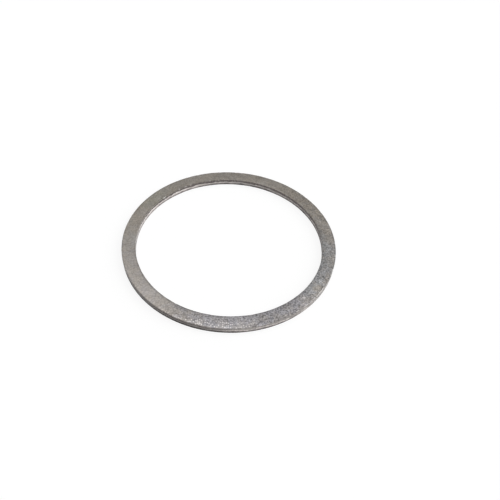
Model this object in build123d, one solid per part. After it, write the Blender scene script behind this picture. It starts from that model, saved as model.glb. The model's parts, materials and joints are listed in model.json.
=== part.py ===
"""A fork washer: one flat steel ring, stamped from strip and tumbled.

It drops over the tube of a telescopic fork and lies on the seat below the oil seal.
The blank and its hole are cut in one stroke by a compound die, so both cut walls have
the same face: from the top, an edge drawn down by the die, a smooth burnished land, and
a rougher broken zone that leans into the metal, down to a lower edge that was tumbled.

Millimetres. The origin is the centre of the hole at the lower face, and +Z points up
through the hole to the face with the drawn-down edges.
"""

import os

from build123d import *

# The ring itself
bore_diameter = 50.3
ring_width = 3.65
thickness = 1.9

# The edge that the die draws down at the top of each cut wall
roll_width = 0.8
roll_depth = 0.04
nose_radius = 0.12

# The cut wall below it
land_height = 0.66
break_lean = 0.03
lower_edge_radius = 0.15

bore_radius = bore_diameter / 2
rim_radius = bore_radius + ring_width
land_top = thickness - roll_depth
land_foot = land_top - land_height


def cut_wall(wall_radius, metal_side):
    """One cut wall's line, from the upper face down to the lower one.

    metal_side is +1 where the metal lies outside the wall, as at the hole, and -1 where
    it lies inside, as at the rim. The two corners that are rounded are left sharp here.
    """
    roll_start = (wall_radius + metal_side * roll_width, thickness)
    nose = (wall_radius, land_top)
    broken_from = (wall_radius, land_foot)
    lower_corner = (wall_radius + metal_side * break_lean, 0)
    roll = TangentArc(roll_start, nose, tangent=(-metal_side, 0))
    land = Line(nose, broken_from)
    broken = Line(broken_from, lower_corner)
    return Curve() + [roll, land, broken]


def corner(section, radius, height):
    """The section's corner nearest to a radius and a height."""
    target = Vector(radius, height, 0)
    return section.vertices().sort_by_distance(target)[0]


def ring_section():
    """The ring's section: two cut walls, joined by the two faces."""
    bore_wall = cut_wall(bore_radius, metal_side=1)
    rim_wall = cut_wall(rim_radius, metal_side=-1)
    upper_face = Line(
        (bore_radius + roll_width, thickness),
        (rim_radius - roll_width, thickness),
    )
    lower_face = Line(
        (bore_radius + break_lean, 0),
        (rim_radius - break_lean, 0),
    )
    section = make_face(Curve() + [bore_wall, upper_face, rim_wall, lower_face])
    for wall_radius, metal_side in ((bore_radius, 1), (rim_radius, -1)):
        nose = corner(section, wall_radius, land_top)
        section = fillet(nose, nose_radius)
        lower = corner(section, wall_radius + metal_side * break_lean, 0)
        section = fillet(lower, lower_edge_radius)
    return section


def fork_washer():
    """The section, stood up in the XZ plane and turned round the hole's axis."""
    return revolve(Plane.XZ * ring_section(), axis=Axis.Z)


washer = fork_washer()
washer.label = "fork_washer"

os.makedirs("parts", exist_ok=True)
export_step(washer, "parts/fork_washer.step")
print("fork_washer volume", round(washer.volume, 2), "mm3")
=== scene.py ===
# %% [markdown]
# # A stamped steel fork washer
#
# The object is one thin flat ring of plain steel, 57.6 mm across. It backs the oil seal in a
# telescopic fork. A compound die cut the blank and its hole in one stroke, and the ring was
# then tumbled in a drum until its faces were dull and its edges no longer sharp.
#
# There is only one piece, so the lesson is in how its surface is made: the two cut walls,
# the marks of the drum, and the grain of the steel. The first cell loads the ring as it was
# built, which gives its main sizes.

# %% Load the ring's frame
import json
import math

import bpy
import numpy as np
from mathutils import Euler, Matrix, Vector


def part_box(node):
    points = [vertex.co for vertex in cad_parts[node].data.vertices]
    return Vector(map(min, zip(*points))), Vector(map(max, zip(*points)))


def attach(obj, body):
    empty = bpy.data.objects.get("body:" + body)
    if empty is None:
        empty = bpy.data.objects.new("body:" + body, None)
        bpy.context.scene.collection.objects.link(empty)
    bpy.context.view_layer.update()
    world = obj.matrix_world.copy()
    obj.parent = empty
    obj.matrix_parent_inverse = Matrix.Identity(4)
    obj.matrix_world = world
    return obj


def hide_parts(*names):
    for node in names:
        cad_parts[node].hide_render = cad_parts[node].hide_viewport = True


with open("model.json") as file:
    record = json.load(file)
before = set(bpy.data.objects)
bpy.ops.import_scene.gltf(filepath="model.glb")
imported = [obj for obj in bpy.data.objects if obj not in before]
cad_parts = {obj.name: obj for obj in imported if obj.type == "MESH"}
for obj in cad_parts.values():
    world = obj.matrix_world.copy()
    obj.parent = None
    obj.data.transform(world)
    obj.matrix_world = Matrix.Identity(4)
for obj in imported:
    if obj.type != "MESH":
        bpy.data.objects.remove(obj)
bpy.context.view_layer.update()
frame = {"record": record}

# %% [markdown]
# ## The sizes
#
# The rim, the bore and the thickness come from the frame, so they can't drift away from the
# real part. The sizes of the stamped edge are repeated here, because the frame doesn't name
# them. Everything is in metres, as Blender has it, with MM to write millimetres.

# %% Sizes from the frame
MM = 0.001

ring_low, ring_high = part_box("fork_washer")
mounts = {mount["name"]: mount for mount in frame["record"]["mounts"]}
rim_radius = mounts["rim"]["dims"]["r_mm"] * MM
bore_radius = mounts["bore"]["dims"]["r_mm"] * MM
thickness = ring_high[2] - ring_low[2]

roll_width = 0.8 * MM  # how far in from the wall the die drew the upper edge down
roll_depth = 0.04 * MM
nose_radius = 0.12 * MM  # the turn from that edge into the wall
land_height = 0.66 * MM  # the smooth wall below it
break_lean = 0.03 * MM  # how far the broken wall draws in by the lower face
lower_edge_radius = 0.15 * MM

ring_width = rim_radius - bore_radius
land_foot = thickness - roll_depth - land_height
print("rim, bore, thickness, mm:", rim_radius / MM, bore_radius / MM, round(thickness / MM, 3))

# %% [markdown]
# ## The camera
#
# The photograph was taken from close by, looking down at about 47 degrees. The ring's outer
# and inner edges are ellipses there, and fitting a camera to them gives the angles and the
# distance below. The lens follows from the fit too: 39.7 mm on a 36 mm sensor. A camera that
# is turned by hand until it looks right rarely gets the perspective of a ring, because the
# far side has to shrink by the right amount as well.

# %% The photograph's camera
sensor_width = 36.0
lens = 39.699
camera_distance = 150.88 * MM
camera_elevation = math.radians(46.88)
camera_pan = math.radians(-2.136)
camera_tilt = math.radians(-0.453)
camera_roll = math.radians(2.0)

camera_data = bpy.data.cameras.new("photo_camera")
camera_data.sensor_width = sensor_width
camera_data.lens = lens
camera_data.clip_start = 0.01
camera_data.clip_end = 10.0
camera = bpy.data.objects.new("photo_camera", camera_data)
bpy.context.scene.collection.objects.link(camera)
bpy.context.scene.camera = camera

away = Vector((0, -math.cos(camera_elevation), math.sin(camera_elevation)))
aim = Euler((math.pi / 2 - camera_elevation, 0, 0)).to_matrix()
aim = aim @ Matrix.Rotation(camera_pan, 3, "Y")
aim = aim @ Matrix.Rotation(camera_tilt, 3, "X")
aim = aim @ Matrix.Rotation(camera_roll, 3, "Z")
camera.matrix_world = Matrix.Translation(away * camera_distance) @ aim.to_4x4()
print("camera at, mm:", [round(part / MM, 1) for part in camera.location])

# %% [markdown]
# ## A helper for nodes
#
# Every finish below is a small graph of nodes. One function adds a node and fills its
# sockets, so that each line of a material reads as one step. A socket that gets another
# node's output is linked, and any other value is written on the socket itself.

# %% One way to add a node
def add_node(tree, kind, sockets=None, **settings):
    """Adds a node, sets its properties, and fills or links the sockets that are named."""
    node = tree.nodes.new(kind)
    for name, value in settings.items():
        setattr(node, name, value)
    for name, value in (sockets or {}).items():
        if isinstance(value, bpy.types.NodeSocket):
            tree.links.new(value, node.inputs[name])
        else:
            node.inputs[name].default_value = value
    return node


def arithmetic(tree, operation, *values):
    """One Math node. The values are numbers or other nodes' outputs."""
    return add_node(
        tree,
        "ShaderNodeMath",
        dict(enumerate(values)),
        operation=operation,
    ).outputs[0]


def dot_with(tree, vector, towards):
    """The dot product of a node's vector with a fixed direction."""
    return add_node(
        tree,
        "ShaderNodeVectorMath",
        {0: vector, 1: towards},
        operation="DOT_PRODUCT",
    ).outputs["Value"]


def between(tree, value, low, high, start=0.0, end=1.0):
    """A smooth step from start, at low, to end, at high. Low can be the larger one."""
    return add_node(
        tree,
        "ShaderNodeMapRange",
        {"Value": value, "From Min": low, "From Max": high, "To Min": start, "To Max": end},
        interpolation_type="SMOOTHSTEP",
    ).outputs["Result"]


print("node helpers ready")

# %% [markdown]
# ## The light
#
# Bare steel has hardly any colour of its own. What the eye reads as grey, pale or dark is the
# room in the metal, so the light matters more here than the paint would on a painted part.
# The washer stood in a plain studio tent. Walls that face the right are pale and walls that
# face the left front are dark, so two wide soft boxes overlap on the right. The face shows
# what is above and behind, and it is brightest at the left front, so a smaller box hangs high
# behind and to the left. The last one stands low behind, where the edges that turn away from
# the camera mirror it.
#
# The boxes could be area lamps. They are written into the world instead, as round soft spots
# in a direction, because metal then mirrors them without noise, from whatever side it is
# looked at. Round the foot of the tent runs a white band, the studio's backdrop.

# %% Directions and soft boxes
def direction(azimuth, elevation):
    """The unit vector towards an azimuth, counted from +X, and an elevation, in degrees."""
    a, e = math.radians(azimuth), math.radians(elevation)
    return Vector((math.cos(a) * math.cos(e), math.sin(a) * math.cos(e), math.sin(e)))


tent_radiance = 0.25
soft_boxes = {  # azimuth, elevation, radiance added, degrees from its middle to its edge
    "right": (20, 24, 1.6, 48),
    "right_fill": (350, 35, 1.25, 45),
    "back_top": (115, 64, 1.6, 22),
    "back_low": (107, 7, 2.1, 20),
}
core = 0.3  # the share of a box's reach that has its full light
backdrop_radiance = 0.95
backdrop_full, backdrop_end = 8, 14  # degrees of elevation
print("soft boxes:", ", ".join(soft_boxes))

# %% The tent
world = bpy.data.worlds.new("tent")
world.use_nodes = True
tent = world.node_tree
tent.nodes.clear()
look = add_node(tent, "ShaderNodeTexCoord").outputs["Generated"]

radiance = tent_radiance
for box_azimuth, box_elevation, added, box_reach in soft_boxes.values():
    box_light = between(
        tent,
        dot_with(tent, look, direction(box_azimuth, box_elevation)),
        math.cos(math.radians(box_reach)),
        math.cos(math.radians(core * box_reach)),
        end=added,
    )
    radiance = arithmetic(tent, "ADD", radiance, box_light)
print("light from a tent of", tent_radiance, "and", len(soft_boxes), "boxes")

# %% The backdrop at the tent's foot
above_backdrop = between(
    tent,
    dot_with(tent, look, (0, 0, 1)),
    math.sin(math.radians(backdrop_full)),
    math.sin(math.radians(backdrop_end)),
)
over_backdrop = arithmetic(tent, "SUBTRACT", radiance, backdrop_radiance)
radiance = arithmetic(tent, "MULTIPLY_ADD", over_backdrop, above_backdrop, backdrop_radiance)
print("backdrop:", backdrop_radiance, "up to", backdrop_full, "degrees, gone by", backdrop_end)

# %% [markdown]
# The camera sees the tent only in low views, over the floor's far edge. There it should see
# plain white paper, so a ray that comes straight from the camera gets a strength of 1. Metal
# mirrors the backdrop instead, which is nearly the same white.

# %% White for the camera
ray = add_node(tent, "ShaderNodeLightPath")
darker = arithmetic(tent, "SUBTRACT", 1.0, radiance)
radiance = arithmetic(tent, "MULTIPLY_ADD", darker, ray.outputs["Is Camera Ray"], radiance)
tent_light = add_node(tent, "ShaderNodeBackground", {"Color": (1, 1, 1, 1), "Strength": radiance})
tent_out = add_node(tent, "ShaderNodeOutputWorld")
tent.links.new(tent_light.outputs[0], tent_out.inputs["Surface"])
bpy.context.scene.world = world
print("tent nodes:", len(tent.nodes))

# %% [markdown]
# ## The floor
#
# The photograph's background is plain white, with no shadow left in it. A matt white sheet
# does nearly the same here, and it keeps a faint contact shadow, which is what makes a thin
# thing look as if it lies on something. The light alone leaves the sheet a shade under white.
# More light would make the steel too pale, so the sheet glows a little, for reflections and for
# the camera. The camera sees more glow and less paper, which thins the shadow, while the steel
# mirrors the sheet with its whole shadow.

# %% The white floor
floor_size = 6.0
paper_white, paper_glow = 0.95, 0.15  # as the steel mirrors the sheet
camera_white, camera_glow = 0.16, 0.876  # as the camera sees it

floor_mesh = bpy.data.meshes.new("floor")
half = floor_size / 2
floor_mesh.from_pydata(
    [(-half, -half, 0), (half, -half, 0), (half, half, 0), (-half, half, 0)],
    [],
    [(0, 1, 2, 3)],
)
floor = bpy.data.objects.new("floor", floor_mesh)
bpy.context.scene.collection.objects.link(floor)
print("floor", floor_size, "m square")

# %% The paper of the floor
floor_paper = bpy.data.materials.new("floor_paper")
floor_paper.use_nodes = True
paper = floor_paper.node_tree
paper.nodes.clear()
ray = add_node(paper, "ShaderNodeLightPath")
mirrored = arithmetic(
    paper, "MAXIMUM", ray.outputs["Is Glossy Ray"], ray.outputs["Is Transmission Ray"]
)
by_camera = ray.outputs["Is Camera Ray"]
strength = arithmetic(paper, "MULTIPLY", mirrored, paper_glow)
strength = arithmetic(paper, "MULTIPLY_ADD", by_camera, camera_glow, strength)
white = arithmetic(paper, "MULTIPLY_ADD", by_camera, camera_white - paper_white, paper_white)
glow = add_node(paper, "ShaderNodeEmission", {"Color": (1, 1, 1, 1), "Strength": strength})
matt = add_node(paper, "ShaderNodeBsdfDiffuse", {"Color": white})
both = add_node(paper, "ShaderNodeAddShader", {0: matt.outputs[0], 1: glow.outputs[0]})
paper_out = add_node(paper, "ShaderNodeOutputMaterial", {"Surface": both.outputs[0]})
floor_mesh.materials.append(floor_paper)
print("paper nodes:", len(paper.nodes))

# %% [markdown]
# ## The section of the ring
#
# Shearing leaves the same story on every cut edge. From the top: the metal is first drawn
# down, which gives a shallow roll and a rounded nose. Then the die rubs a smooth upright
# land. Then the rest tears away and leans back into the metal. Last comes the lower edge,
# which would be a burr if the drum hadn't worn it round.
#
# The section could be drawn as a curve and turned with a Screw modifier. Here it is a list of
# rows worked out from the sizes instead, because each row then knows which zone it is in, and
# the wear and the finish further down need that.

# %% The zones of a cut wall
zone_rows = {"roll": 7, "nose": 7, "land": 6, "torn": 12, "lower_edge": 5}
roll_radius = (roll_width**2 + roll_depth**2) / (2 * roll_depth)
reach = math.sqrt((roll_radius - nose_radius) ** 2 - (roll_width - nose_radius) ** 2)
nose_turn = math.atan2(reach, roll_width - nose_radius)
lean = math.atan2(break_lean, land_foot)
print("roll radius, mm:", round(roll_radius / MM, 2), "nose turns", round(math.degrees(nose_turn)))


def arc(centre, radius, start, end, count):
    """Points on an arc, as depth into the metal and height. Angles are from the outside."""
    turns = np.linspace(start, end, count)
    depth = centre[0] - radius * np.cos(turns)
    return np.stack([depth, centre[1] + radius * np.sin(turns)], axis=1)


# %% One cut wall, as rows from the upper face to the lower one
roll_centre = (roll_width, thickness - roll_radius)
nose_centre = (nose_radius, roll_centre[1] + reach)
edge_depth = lower_edge_radius * (1 - math.sin(lean)) / math.cos(lean)
edge_centre = (break_lean + edge_depth, lower_edge_radius)

roll = arc(roll_centre, roll_radius, math.pi / 2, nose_turn, zone_rows["roll"])
nose = arc(nose_centre, nose_radius, nose_turn, 0, zone_rows["nose"] + 1)[1:]
land = np.linspace(nose[-1], (0, land_foot), zone_rows["land"] + 1)[1:]
edge = arc(edge_centre, lower_edge_radius, -lean, -math.pi / 2, zone_rows["lower_edge"] + 1)
torn = np.linspace(land[-1], edge[0], zone_rows["torn"] + 1)[1:]
wall = np.concatenate([roll, nose, land, torn, edge[1:]])
wall_zone = np.repeat(list(zone_rows), list(zone_rows.values()))
print("rows in a wall:", len(wall))

# %% [markdown]
# ## The ring as a grid
#
# The section is a closed loop of rows: up the bore's wall, over the upper face, down the
# rim's wall and back under the lower face. Turned round the axis in equal steps, it makes a
# grid with no poles and no odd faces. The steps are fine enough for the edge to stay round
# in any view, and for a dent of half a millimetre to be real shape.

# %% The loop of rows
upper_rows, under_rows = 16, 5
steps = 1024

upper = np.linspace(roll_width, ring_width - roll_width, upper_rows + 2)[1:-1]
under = np.linspace(wall[-1][0], ring_width - wall[-1][0], under_rows + 2)[1:-1]
row_radius = np.concatenate([
    bore_radius + wall[::-1, 0], bore_radius + upper, rim_radius - wall[:, 0], rim_radius - under
])
row_height = np.concatenate([
    wall[::-1, 1], np.full(upper_rows, thickness), wall[:, 1], np.zeros(under_rows)
])
row_zone = np.concatenate([
    wall_zone[::-1], np.full(upper_rows, "upper"), wall_zone, np.full(under_rows, "under")
])
rows = len(row_zone)
at_rim = row_radius > bore_radius + ring_width / 2
print("grid:", rows, "rows by", steps, "steps,", 2 * rows * steps, "triangles")

# %% [markdown]
# Every later dent and scrape is a depth, straight into the metal. For that each row needs the
# direction that points out of the metal there, and its distance along the section. Both come
# from the neighbouring rows.

# %% Which way is out of the metal
ahead = np.roll(np.arange(rows), -1)
behind = np.roll(np.arange(rows), 1)
along_radius = row_radius[ahead] - row_radius[behind]
along_height = row_height[ahead] - row_height[behind]
span = np.hypot(along_radius, along_height)
out_radius, out_height = -along_height / span, along_radius / span
gap = np.hypot(row_radius[ahead] - row_radius, row_height[ahead] - row_height)
section_place = np.concatenate([[0], np.cumsum(gap)])
print("round the section, mm:", round(section_place[-1] / MM, 2))

# %% [markdown]
# ## Noise that closes on itself
#
# Wear has no seam, so a random line that runs round the ring has to meet its own start. A
# row of random numbers that is blurred round a circle does that: the blur is done with a
# Fourier transform, for which the row is a circle anyway. The seed is fixed, so the ring
# comes out the same each time.

# %% Random lines round the ring
chance = np.random.default_rng(20)
azimuth = np.linspace(0, 2 * math.pi, steps, endpoint=False)
girth = 2 * math.pi * rim_radius
blur_share = 0.3  # the blur's own spread, as a share of a blob's length


def blurred(values, length):
    """Blurs rows of numbers round the ring, to blobs about length long, with a spread of 1."""
    turns = np.fft.rfftfreq(steps) * steps
    keep = np.exp(-2 * (math.pi * turns * blur_share * length / girth) ** 2)
    smooth = np.fft.irfft(np.fft.rfft(values, axis=-1) * keep, n=steps, axis=-1)
    return smooth / smooth.std()


def random_line(length):
    """One random line round the ring."""
    return blurred(chance.normal(size=steps), length)


def random_patch(count, length, row_blur):
    """Random rows that also run on from one row to the next."""
    values = chance.normal(size=(count, steps))
    for _ in range(row_blur):
        values[1:-1] = (values[:-2] + 2 * values[1:-1] + values[2:]) / 4
    return blurred(values, length)


print("steps are", round(girth / steps / MM, 3), "mm apart at the rim")

# %% Where a step and a zone lie
def angle_from(middle):
    """How far each step lies from an angle, the short way round, in radians."""
    return np.mod(azimuth - middle + math.pi, 2 * math.pi) - math.pi


def rows_of(zone, rim):
    """The numbers of one zone's rows, at the rim or at the bore."""
    return np.flatnonzero((row_zone == zone) & (at_rim == rim))


print("torn rows at the rim:", len(rows_of("torn", True)))

# %% [markdown]
# ## Wear as real shape
#
# Three things shape the metal here. The torn zone starts at an uneven height and is pulled
# out in upright ridges, because metal tears along its own grain. The drum wore the edges, so
# the nose and the lower edge waver a little. Then there are the dings, where washers knocked
# against each other: a short flat on the nose, deepest in its middle.
#
# All of it is cut into the metal and nothing stands proud, so the ring stays inside its
# nominal sizes. That is how a worn part differs from a drawn one. The walls are set in by a
# few thousandths of a millimetre as well, because the plain solid is a mesh with facets, and
# its own box comes out that much too small.

# %% The torn zone
wall_inset = 0.006 * MM
tear_depth = 0.03 * MM
tear_waver = 0.1 * MM
tear_fade = 0.2 * MM  # how far below its upper line the torn zone reaches its full depth

on_wall = np.isin(row_zone, ("nose", "land", "torn"))[:, None]
depth_cut = np.repeat(np.where(on_wall, wall_inset, 0.0), steps, axis=1)
shift_down = np.zeros((rows, steps))

for rim in (False, True):
    waver = 0.7 * random_line(2.2 * MM) + 0.5 * random_line(0.7 * MM)
    tear_line = tear_waver * np.clip(waver, -1.6, 1.6)
    torn_rows = rows_of("torn", rim)
    for index in np.concatenate([rows_of("land", rim), torn_rows]):
        follow = 1 - abs(row_height[index] - land_foot) / land_foot
        shift_down[index] = np.clip(follow, 0, 1) * tear_line
    fine_ridges = random_patch(len(torn_rows), 0.45 * MM, 3)
    broad_ridges = random_patch(len(torn_rows), 1.4 * MM, 4)
    ridges = np.clip(0.9 + 0.55 * (fine_ridges + broad_ridges), 0, 2.4)
    into = np.clip((land_foot - row_height[torn_rows]) / tear_fade, 0, 1)[:, None]
    depth_cut[torn_rows] += tear_depth * into * ridges
print("torn zone cut up to", round(depth_cut.max() / MM, 3), "mm")

# %% The worn edges
wear_of_zone = {"nose": 0.012 * MM, "lower_edge": 0.02 * MM}
most_waver = 2.5

for rim in (False, True):
    for zone, wear in wear_of_zone.items():
        edge_rows = rows_of(zone, rim)
        across_edge = np.linspace(0, math.pi, len(edge_rows) + 2)[1:-1]
        waver = 1 + 0.5 * random_line(5 * MM) + 0.4 * random_line(1.2 * MM)
        waver = np.clip(waver, 0, most_waver)
        depth_cut[edge_rows] += wear * np.sin(across_edge)[:, None] * waver[None, :]
print("edges worn up to", round(max(wear_of_zone.values()) * most_waver / MM, 3), "mm")

# %% The dings
ding_count = 70
rim_share = 0.6  # more dings fall on the rim than in the bore
ding_half_width = 0.26 * MM

bruise = np.zeros((rows, steps))
nose_middle = {rim: section_place[rows_of("nose", rim)].mean() for rim in (False, True)}
for _ in range(ding_count):
    rim = chance.random() < rim_share
    where = chance.uniform(0, 2 * math.pi)
    half_length = chance.uniform(0.22, 0.7) * MM
    deepest = chance.uniform(0.012, 0.04) * MM
    aside = angle_from(where) * rim_radius
    across = section_place[:-1] - nose_middle[rim] - chance.normal(0, 0.06) * MM
    shape = 1 - (aside[None, :] / half_length) ** 2 - (across[:, None] / ding_half_width) ** 2
    shape = np.clip(shape, 0, 1)
    depth_cut += deepest * shape
    bruise = np.maximum(bruise, np.clip(1.6 * shape, 0, 1))
print("dings:", ding_count, "deepest cut, mm:", round(depth_cut.max() / MM, 3))

# %% [markdown]
# ## The mesh
#
# The rows now move to their places and are joined by quads. One object holds the whole ring,
# as on the bench, with smooth shading, because the rows already round the corners.

# %% Turn the loop into a mesh
radius = row_radius[:, None] - out_radius[:, None] * depth_cut
height = row_height[:, None] - out_height[:, None] * depth_cut + shift_down
height = np.clip(height, 0, thickness)
points = np.stack([radius * np.cos(azimuth), radius * np.sin(azimuth), height], axis=-1)

row, step = np.meshgrid(np.arange(rows), np.arange(steps), indexing="ij")
next_row, next_step = (row + 1) % rows, (step + 1) % steps
corners = [(row, step), (row, next_step), (next_row, next_step), (next_row, step)]
quads = np.stack([at_row * steps + at_step for at_row, at_step in corners], axis=-1)
quads = quads.reshape(-1, 4)

ring_mesh = bpy.data.meshes.new("washer_ring")
ring_mesh.from_pydata(points.reshape(-1, 3), [], quads.tolist())
ring_mesh.polygons.foreach_set("use_smooth", [True] * len(ring_mesh.polygons))
ring = bpy.data.objects.new("washer_ring", ring_mesh)
bpy.context.scene.collection.objects.link(ring)
print("faces:", len(ring_mesh.polygons))

# %% [markdown]
# ## Masks
#
# Each vertex keeps what it knows: which zone it is in, how bruised it is, and how coarse and
# how cool the drum left it. The finish reads those numbers by name, so the colour of a zone
# follows its shape exactly.
#
# The drum doesn't treat a thin ring evenly. One side of this one came out coarser and cooler in
# colour, and the other side smooth and warm. In a patch by the rim on the coarse side, single
# grains catch the light, and those glints are painted into the colour as bright specks. So a side
# is a mask of its own: a middle and a half width in degrees round the ring, with a soft edge that
# wavers. 0 is on the right, 90 at the back, and 270 at the front, next to the camera. The first
# two numbers also seed the waver, so one more side leaves the others alone.

# %% A mask for one side of the ring
def side_mask(middle, half_width, soft, waver):
    """1 on one side of the ring and 0 on the other, in degrees, with an edge that wavers."""
    own_chance = np.random.default_rng([middle, half_width])
    aside = np.abs(np.degrees(angle_from(math.radians(middle))))
    edge = half_width + waver * blurred(own_chance.normal(size=steps), 9 * MM) - aside
    return np.clip(0.5 + edge / soft, 0, 1)


everywhere = np.ones((rows, steps))
rim_side = at_rim[:, None]
toward_rim = np.clip((row_radius - bore_radius) / ring_width, 0, 1)[:, None]
print("1 degree is", round(girth / 360 / MM, 2), "mm of the rim")

# %% Masks of the cut walls
land_begins = 1.8 * MM  # up onto the nose, so the nose is painted dark like the land, as painted shade
land_fade = 0.06 * MM
foot_fade = 0.25 * MM  # the dark foot of the torn zone ends softly

on_nose = np.clip((land_begins - row_height) / land_fade, 0, 1)
in_land = np.where(row_zone == "nose", on_nose, row_zone == "land")[:, None]
in_torn = np.isin(row_zone, ("torn", "lower_edge"))[:, None]
foot_height = (0.72 + 0.06 * random_line(1.5 * MM)) * MM
# painted shade: the torn zone is painted dark near the floor, where its contact shadow falls
shaded_foot = in_torn * np.clip((foot_height - row_height[:, None]) / foot_fade, 0, 1)
# the painted shade at the foot is lighter at the rim's right front, which faces the lamps
shaded_foot *= 1 - 0.6 * rim_side * side_mask(326, 26, 14, 3)
# painted light: the land is painted paler where it faces the lamps, at the rim's right front and
# the bore's left back
land_painted_light = np.where(rim_side, side_mask(304, 36, 20, 4), 0.45 * side_mask(168, 16, 20, 3))
masks = {
    "land": in_land * everywhere,
    "torn": in_torn * everywhere,
    "shaded_foot": shaded_foot,
    "land_painted_light": land_painted_light,
    "bruise": bruise,
}
print("wall masks:", ", ".join(masks))

# %% Masks of the skin
near_rim = np.clip(2.6 * toward_rim - 1.1, 0, 1)
# where glints are painted on single grains, by the rim at the front
glint_band = np.clip(2.6 * toward_rim - 0.85, 0, 1) * side_mask(262, 16, 12, 3)

coarse_side = np.maximum(side_mask(300, 52, 44, 5), 0.4 * side_mask(22, 26, 20, 4))
coarse_side *= 1 - 0.14 * side_mask(288, 12, 14, 3)
cool_side = np.maximum(side_mask(306, 60, 42, 5), 0.32 * side_mask(212, 32, 24, 4))
warm_rim = 0.35 * near_rim * side_mask(328, 18, 14, 3)
masks["coarse"] = everywhere * coarse_side
masks["cool"] = cool_side * (1.15 - 0.3 * toward_rim - warm_rim)
masks["violet"] = everywhere * side_mask(258, 62, 24, 4)
masks["olive"] = 0.8 * everywhere * side_mask(142, 9, 10, 3)
speck_glints = np.maximum(glint_band, 0.25 * side_mask(318, 22, 16, 4))
masks["speck_glints"] = np.where(in_torn, 0.0, speck_glints)
print("all masks so far:", ", ".join(masks))

# %% [markdown]
# One more mask says how pale the metal is painted, with 1 for its plain tone, and much of it is
# painted light and shade. Each line below is a small change on one side of the ring. On the face
# the changes are partly the skin's own tone and partly painted sheen. The drawn-down edges have
# changes of their own, which are painted reflections: on the photographed ring they are darker
# than the face at the back and the right, and paler at the front. The torn zones of the walls have
# theirs too, painted light and painted shade by side, and so have their feet, which are painted
# dark as shade.

# %% How pale the face is on each side, with painted sheen
def changed(plain, *changes):
    """A plain tone with changes, each one (change, middle, half width, soft edge, waver)."""
    return plain + sum(change * side_mask(*side) for change, *side in changes)


# partly the skin's own tone and partly painted sheen: the face is painted paler at the left front
face_tone_and_sheen = changed(
    1,
    (0.09, 220, 15, 14, 3),  # left front
    (-0.06, 150, 60, 40, 4),  # left and back
    (-0.05, 247, 12, 10, 3),  # front
    (-0.06, 303, 12, 12, 3),  # right front
)
print("face, palest and darkest:", round(face_tone_and_sheen.max(), 2), round(face_tone_and_sheen.min(), 2))

# %% Painted reflections on the drawn-down edges
# painted reflection and shade: the rim's edge is painted paler at the front and darker at the
# right and the left back, the bore's darker at the left back, the front and the right
rim_edge_reflection = changed(
    0,
    (0.5, 262, 25, 14, 3),  # front
    (-0.42, 327, 38, 14, 3),  # right front
    (-0.38, 12, 44, 24, 3),  # right
    (-0.42, 128, 32, 24, 3),  # left back
)
bore_edge_reflection = changed(
    0,
    (-0.42, 140, 32, 26, 3),  # left back
    (-0.08, 100, 20, 20, 3),  # back
    (-0.28, 300, 105, 30, 3),  # front and right
)
print("rim's edge, palest and darkest:", round(rim_edge_reflection.max(), 2), round(rim_edge_reflection.min(), 2))

# %% Painted light and shade on the torn zones
rim_wall_light_and_shade = changed(
    1,
    # painted shade on the left front, which faces away from the lamps
    (-0.36, 230, 34, 14, 3),  # left front
    # painted light on the right front and on the front
    (0.2, 296, 26, 20, 4),  # right front
    (0.34, 280, 10, 12, 2),  # front
)
# painted light on the bore's left back, which faces the lamps
bore_wall_light = changed(1.1, (0.67, 144, 36, 46, 6))  # left back
# painted shade at the feet, deeper at the rim's front and at the bore's back
rim_foot_shade = changed(1, (-0.34, 270, 32, 14, 3))  # front
bore_foot_shade = changed(1, (-0.34, 88, 22, 14, 3))  # back
print("torn zones, palest:", round(rim_wall_light_and_shade.max(), 2), round(bore_wall_light.max(), 2))

# %% The tone of each vertex
wall_distance = np.minimum(row_radius - bore_radius, rim_radius - row_radius)
on_edge = np.clip((roll_width - wall_distance) / (roll_width - nose_radius), 0, 1)[:, None] ** 3

# painted sheen: at the front and the right the outer half of the face is painted paler and the
# inner half darker, and by the rim at the front it is a shade darker
face_tone_and_sheen = face_tone_and_sheen + 0.17 * (toward_rim - 0.5) * side_mask(290, 80, 50, 5)
face_tone_and_sheen -= 0.05 * near_rim * side_mask(259, 13, 14, 3)
# painted reflections on the drawn-down edges
face_tone_and_sheen += on_edge * np.where(rim_side, rim_edge_reflection, bore_edge_reflection)
# painted light and shade on the torn zones and on their feet
wall_light_and_shade = np.where(rim_side, rim_wall_light_and_shade, bore_wall_light)
foot_shade = np.where(rim_side, rim_foot_shade, bore_foot_shade)
wall_light_and_shade *= np.where(shaded_foot > 0.5, foot_shade, 1)
masks["tone"] = np.where(in_torn, wall_light_and_shade, face_tone_and_sheen)

for name, values in masks.items():
    layer = ring_mesh.attributes.new(name, "FLOAT", "POINT")
    layer.data.foreach_set("value", values.astype(np.float32).ravel())
print("masks on the mesh:", len(masks))

# %% [markdown]
# ## The unwrap
#
# When the ring leaves Blender as a model, its finish is baked into a square picture. The
# ring's skin is a strip, about 16 times as long as it is wide, which would waste nearly all
# of that square. So the strip is cut into four arcs, laid one above the other. The grid gives
# this straight away: steps run along the strip, and rows run across it.

# %% Four arcs in a square
arcs = 4
arc_steps = steps // arcs
margin_u, margin_v = 0.005, 0.02  # of the square's side and of one arc's height

strip_v = section_place / section_place[-1]
u_start = (step % arc_steps) / arc_steps
u_end = u_start + 1 / arc_steps
v_start, v_end = strip_v[row], strip_v[row + 1]
u = np.stack([u_start, u_end, u_end, u_start], axis=-1)
v = np.stack([v_start, v_start, v_end, v_end], axis=-1)
u = margin_u + u * (1 - 2 * margin_u)
v = ((step // arc_steps)[..., None] + margin_v + v * (1 - 2 * margin_v)) / arcs
unwrap = ring_mesh.uv_layers.new(name="OFBake")
unwrap.data.foreach_set("uv", np.stack([u, v], axis=-1).astype(np.float32).ravel())
print("arcs:", arcs, "millimetres of ring to each:", round(girth / arcs / MM, 1))

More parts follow.
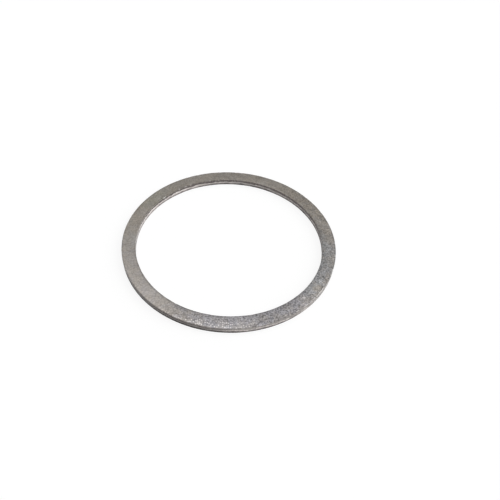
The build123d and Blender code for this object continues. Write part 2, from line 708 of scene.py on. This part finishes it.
# %% [markdown]
# ## The finish
#
# Tumbled steel is dull because its skin is all tiny pits, each tilted its own way. That asks
# for three things at once: a middling roughness, a bump too fine to see as shape, and small
# changes of tone that break up the grey. Each comes in several sizes, because an even grain of
# one size looks like plastic.
#
# The noise is measured in millimetres. The coordinates of the ring are in metres, so they are
# multiplied by 1000 once, and a size below then reads as the width of a blob.

# %% Noise in millimetres
steel = bpy.data.materials.new("tumbled_steel")
steel.use_nodes = True
metal = steel.node_tree
metal.nodes.clear()
place = add_node(
    metal,
    "ShaderNodeVectorMath",
    {0: add_node(metal, "ShaderNodeTexCoord").outputs["Object"], "Scale": 1 / MM},
    operation="SCALE",
).outputs[0]


def clouds(size, detail=2.0, roughness=0.55):
    """Soft blobs about size mm across, stretched to run from 0 to 1."""
    noise = add_node(
        metal,
        "ShaderNodeTexNoise",
        {"Vector": place, "Scale": 1 / size, "Detail": detail, "Roughness": roughness},
    )
    return between(metal, noise.outputs[0], 0.3, 0.7)


def mask(name):
    """One of the ring's own masks, as the mesh keeps it."""
    return add_node(metal, "ShaderNodeAttribute", attribute_name=name).outputs["Fac"]


print("noise helpers ready")

# %% Sums of tones and mixes of colours
def plus(base, value, factor):
    """base plus value times factor, where each is a number or a node's output."""
    return arithmetic(metal, "MULTIPLY_ADD", value, factor, base)


def product(first, second):
    """Two values multiplied."""
    return arithmetic(metal, "MULTIPLY", first, second)


def centred(noise):
    """Noise that runs from 0 to 1, moved to run from -0.5 to 0.5."""
    return arithmetic(metal, "SUBTRACT", noise, 0.5)


def tint(factor, low, high):
    """A colour between two, where the factor runs from 0 to 1."""
    sockets = {0: factor, 6: low, 7: high}  # a Mix node keeps its two colours in 6 and 7
    return add_node(metal, "ShaderNodeMix", sockets, data_type="RGBA").outputs[2]


print("mixing helpers ready")

# %% [markdown]
# ## Marks
#
# A nick, a scratch and a rubbed patch are all the same shape here: an ellipse on the upper
# face. The place is turned, shifted and squeezed until the ellipse is a circle of radius 1,
# and the mark fades out towards that circle.

# %% The shape of one mark
mark_depth = 0.5  # mm, so that a mark ends before it reaches the lower face


def mark_shape(x, y, turned, length, width):
    """1 in the middle of an ellipse on the upper face, 0 outside it. Millimetres and degrees."""
    squeezed = add_node(
        metal,
        "ShaderNodeMapping",
        {
            "Vector": place,
            "Location": (x, y, thickness / MM),
            "Rotation": (0, 0, math.radians(turned)),
            "Scale": (length / 2, width / 2, mark_depth),
        },
        vector_type="TEXTURE",
    ).outputs[0]
    from_middle = add_node(
        metal, "ShaderNodeVectorMath", {0: squeezed}, operation="LENGTH"
    ).outputs["Value"]
    return between(metal, from_middle, 1, 0.4)


rubbed = mark_shape(21.8, -15.2, 20, 5.0, 3.2)  # a patch at the front right
print("nodes for one mark:", len(metal.nodes) - 2)

# %% [markdown]
# ## Colour and tone
#
# The colour of the skin is a mix of a warm and a cool steel. The smooth side is warm, with an
# olive patch at the back left, and the coarse side is cool, a little violet at the front.
# Flecks and stains shift the mix a little from place to place.
#
# The tone is how pale the skin is. It has stains of several millimetres, a mottle of a
# millimetre or two, and the grain itself, which is stronger on the coarse side.

# %% Noise of every size
stain_size, fleck_size, mottle_size, grain_size, fine_size = 7.0, 2.2, 1.6, 0.4, 0.16  # mm

stain = clouds(stain_size, detail=1.0)
fleck_noise = clouds(fleck_size, roughness=0.7)
mottle = clouds(mottle_size)
grain = clouds(grain_size, roughness=0.65)
fine_grain = clouds(fine_size, detail=1.0)
coarse = mask("coarse")
print("noise runs from", fine_size, "to", stain_size, "mm")

# %% The colour of the skin
warm, olive = (0.409, 0.37, 0.324, 1), (0.396, 0.375, 0.316, 1)
cool, violet = (0.381, 0.381, 0.386, 1), (0.386, 0.375, 0.391, 1)

flecks = between(metal, fleck_noise, 0.2, 0.8, -0.22, 0.22)
cool_share = plus(0.08, mask("cool"), 0.79)
cool_share = plus(cool_share, stain, 0.1)
cool_share = plus(cool_share, flecks, plus(0.45, coarse, 0.55))
cool_share = plus(cool_share, rubbed, -0.25)
warm_skin = tint(mask("olive"), warm, olive)
cool_skin = tint(mask("violet"), cool, violet)
skin = tint(cool_share, warm_skin, cool_skin)
print("skin runs from", warm[:3], "to", cool[:3])

# %% The tone of the skin
plain_tone = 0.965

on_face = plus(1.0, mask("torn"), -0.6)
on_face = plus(on_face, rubbed, -0.8)
on_face = plus(on_face, mask("speck_glints"), -0.35)
grain_strength = product(plus(0.4, coarse, 0.62), on_face)
tone = product(centred(grain), grain_strength)
tone = plus(tone, centred(mottle), plus(0.1, coarse, 0.12))
tone = plus(tone, stain, 0.07)
tone = plus(tone, rubbed, 0.1)
tone = arithmetic(metal, "ADD", tone, plain_tone)
print("skin nodes:", len(metal.nodes))

# %% [markdown]
# By the rim at the front, single grains of the skin catch the light, and their glints are painted
# into the colour as bright specks. Each is the middle of a Voronoi cell, and only some cells are
# chosen. The cells are flat ones, laid on the face: a face that cuts through solid cells meets few
# of them in their middle, so most specks would come out faint.

# %% Painted glints by the rim
speck_size = 0.46  # mm, from one cell to the next
glint_change = 1.5

speck_cells = add_node(
    metal,
    "ShaderNodeTexVoronoi",
    {"Vector": place, "Scale": 1 / speck_size},
    feature="F1",
    voronoi_dimensions="2D",
)
speck_shape = between(metal, speck_cells.outputs["Distance"], 0.45, 0.2)
cell_colour = add_node(metal, "ShaderNodeSeparateColor", {0: speck_cells.outputs["Color"]})
speck_chosen = between(metal, cell_colour.outputs[0], 0.55, 0.72)
speck_where = arithmetic(metal, "MAXIMUM", mask("speck_glints"), product(coarse, 0.1))
speck_glint = product(product(speck_shape, speck_chosen), speck_where)
tone = plus(tone, speck_glint, glint_change)
# the mask called tone brings the painted light and shade of the walls and edges, and the painted
# sheen of the face
tone = product(tone, mask("tone"))
print("a speck makes the skin paler by up to", glint_change)

# %% [markdown]
# Some marks stand out on the photographed ring. At the front right there is a pale patch next to
# the rubbed one, with two scratches and two nicks near by. Along the rim there runs a dull strip,
# which is painted shade on the drawn-down edge, and a thin bright line, which is a painted glint
# on the nose. At the back right there are two dull smudges. The rest are hairlines, thrown at
# random, because no steel ring leaves a drum or a drawer without them.

# %% Marks on the upper face
marks = [  # x, y, direction in degrees, length and width in mm, change of tone
    (23.4, -13.1, 60, 2.6, 1.6, 0.14),  # the pale patch
    (21.8, -16.6, 6, 2.7, 0.3, 0.75),  # two scratches
    (21.1, -16.2, 34, 2.4, 0.2, 0.4),
    # painted shade on the drawn-down edge, inside the glint
    (20.95, -18.5, 48, 3.8, 0.8, -0.16),  # the dull strip
    # painted highlight: a glint on the nose
    (22.93, -17.36, 53, 4.6, 0.18, 0.9),  # the bright line
    (19.0, -18.9, 20, 1.3, 0.85, 0.8),  # two nicks
    (17.3, -19.4, 28, 1.2, 0.45, 0.4),
    (21.8, 15.9, 125, 2.6, 1.0, -0.17),  # two smudges
    (23.4, 13.1, 118, 1.8, 0.8, -0.14),
]
hairlines = 14
for _ in range(hairlines):
    angle, out_to = chance.uniform(0, 2 * math.pi), chance.uniform(bore_radius, rim_radius) / MM
    marks.append((
        out_to * math.cos(angle), out_to * math.sin(angle), chance.uniform(0, 180),
        chance.uniform(1.5, 4), chance.uniform(0.06, 0.1), chance.uniform(0.12, 0.4),
    ))
for *ellipse, change in marks:
    tone = plus(tone, mark_shape(*ellipse), change)
print("marks:", len(marks))

# %% [markdown]
# ## The cut walls
#
# The die made the walls after the sheet had its skin, so their colours lie over the skin's.
# The land is streaked upright, as it slid along the die. Its dark colour is painted shade, since
# the smooth land mirrors its dark surroundings, and it is painted pale, as painted light, where it
# faces the lamps. The torn zone is pale and mottled above its foot, which is painted dark as shade
# where the wall meets the floor, and a ding is pale too, because it bares the metal.

# %% Upright streaks
streak_size = 1 / 3.5  # mm across
upright = 0.12  # of the height is used, which draws the noise out that way

streaks_place = add_node(
    metal, "ShaderNodeVectorMath", {0: place, 1: (1, 1, upright)}, operation="MULTIPLY"
).outputs[0]
streaks = add_node(
    metal,
    "ShaderNodeTexNoise",
    {"Vector": streaks_place, "Scale": 1 / streak_size, "Detail": 3.0},
).outputs[0]
streaks = between(metal, streaks, 0.3, 0.7)
print("streaks are", round(1 / upright), "times as high as wide")

# %% The colours of the zones
wall_colours = {  # the darker and the paler one of each zone
    # the land's colours are painted shade: the smooth land would mirror its dark surroundings
    "land": ((0.127, 0.11, 0.106, 1), (0.182, 0.163, 0.157, 1)),
    # painted light on the land where it faces the lamps
    "land_lit": ((0.26, 0.24, 0.23, 1), (0.39, 0.366, 0.348, 1)),
    "torn": ((0.405, 0.378, 0.365, 1), (0.525, 0.495, 0.48, 1)),
    # painted shade at the foot of the torn zone, near the floor
    "shaded_foot": ((0.172, 0.154, 0.149, 1), (0.262, 0.24, 0.234, 1)),
}
palest = (0.8, 0.77, 0.75)  # no skin or torn metal is paler than this
bared, bared_share = (0.5, 0.485, 0.465, 1), 0.6  # in the middle of a ding

# the land: painted shade, and painted light where it faces the lamps, with its own upright streaks
land_light_and_shade = tint(
    mask("land_painted_light"), tint(streaks, *wall_colours["land"]), tint(streaks, *wall_colours["land_lit"])
)
# the torn zone's own colour, with painted shade at its foot
torn_colour_and_foot_shade = tint(
    mask("shaded_foot"), tint(mottle, *wall_colours["torn"]), tint(mottle, *wall_colours["shaded_foot"])
)
colour = tint(mask("torn"), skin, torn_colour_and_foot_shade)
colour = add_node(
    metal, "ShaderNodeVectorMath", {0: colour, "Scale": tone}, operation="SCALE"
).outputs[0]
colour = add_node(
    metal, "ShaderNodeVectorMath", {0: colour, 1: palest}, operation="MINIMUM"
).outputs[0]
colour = tint(mask("land"), colour, land_light_and_shade)
colour = tint(product(mask("bruise"), bared_share), colour, bared)
print("colour nodes:", len(metal.nodes))

# %% [markdown]
# ## Roughness and bump
#
# Where the die rubbed the metal it is smoother, and where it tore it is rougher. The bump is
# a hundredth of a millimetre deep at the most: that is enough to break a reflection up, and
# more would make the ring look cast.

# %% Roughness
skin_roughness = 0.38
roughness_changes = {"land": -0.15, "torn": 0.16}

roughness = plus(skin_roughness, mottle, 0.08)
for name, change in roughness_changes.items():
    roughness = plus(roughness, mask(name), change)
roughness = plus(roughness, speck_glint, -0.08)
print("roughness of the skin:", skin_roughness, "and its changes:", roughness_changes)

# %% Bump, and the steel as a whole
pits = product(grain, plus(0.003, coarse, 0.006))  # mm deep
pits = plus(pits, fine_grain, 0.0015)
bump = add_node(metal, "ShaderNodeBump", {"Strength": 1.0, "Distance": MM, "Height": pits})
shader = add_node(
    metal,
    "ShaderNodeBsdfPrincipled",
    {"Base Color": colour, "Metallic": 1.0, "Roughness": roughness, "Normal": bump.outputs[0]},
)
steel_out = add_node(metal, "ShaderNodeOutputMaterial", {"Surface": shader.outputs[0]})
ring_mesh.materials.append(steel)
print("steel nodes:", len(metal.nodes))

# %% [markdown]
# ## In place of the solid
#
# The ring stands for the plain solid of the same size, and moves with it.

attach(ring, "root")
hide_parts("fork_washer")

bpy.context.scene.view_settings.view_transform = "Standard"
